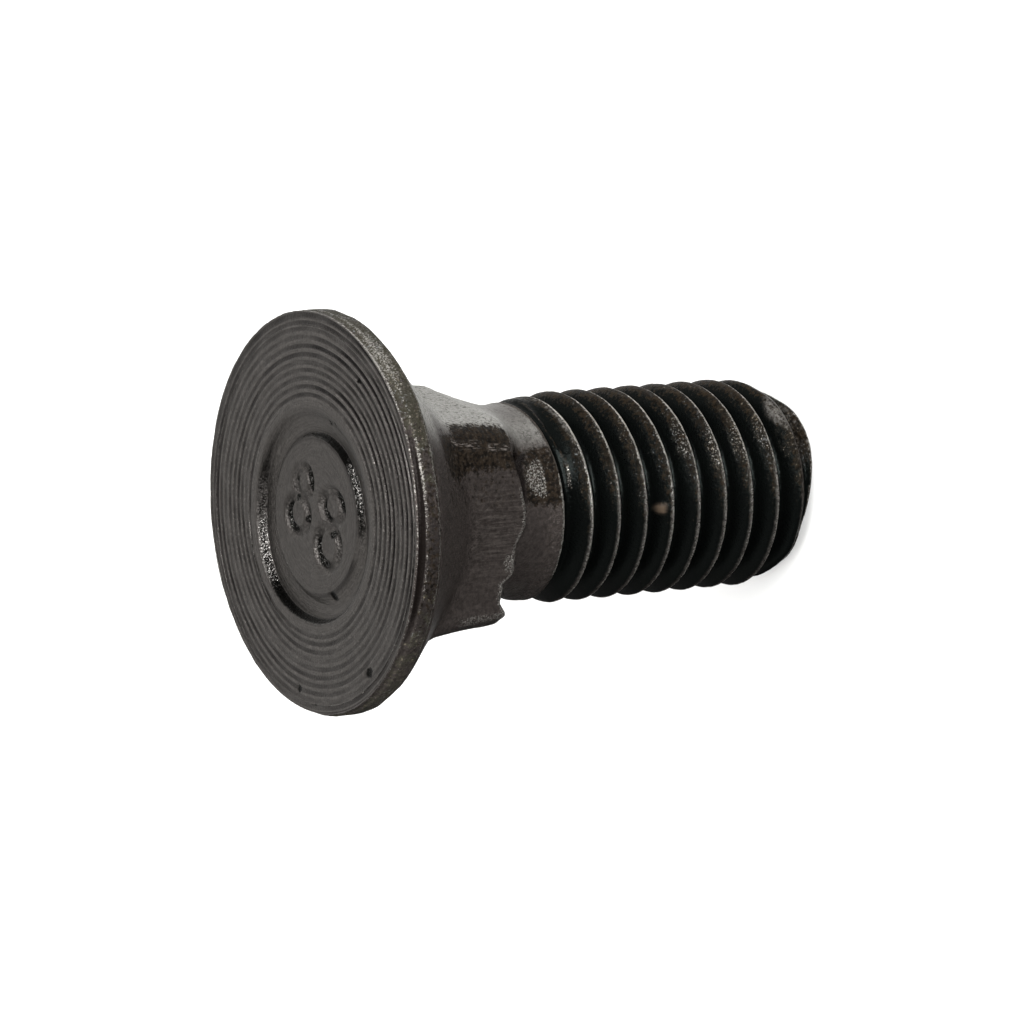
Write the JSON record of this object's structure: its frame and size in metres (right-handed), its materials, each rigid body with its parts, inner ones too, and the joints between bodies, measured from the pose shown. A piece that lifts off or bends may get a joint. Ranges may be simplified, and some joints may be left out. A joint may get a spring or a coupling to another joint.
{
  "type": "countersunk square neck bolt",
  "caption": "Short flat countersunk bolt with a square neck and a rolled metric thread, blackened steel, standing on its threaded end.",
  "frame": {"origin": "centre of the flat face at the threaded end", "axes": "+Z along the bolt's axis from the threaded end to the head, X and Y square to the flats of the neck"},
  "size_m": [0.0188, 0.0188, 0.025],
  "materials": {
    "blackened_steel": "black oxide over forged and rolled steel, oiled, worn on the edges"
  },
  "bodies": {
    "root": {"bolt": "blackened_steel"}
  },
  "joints": []
}
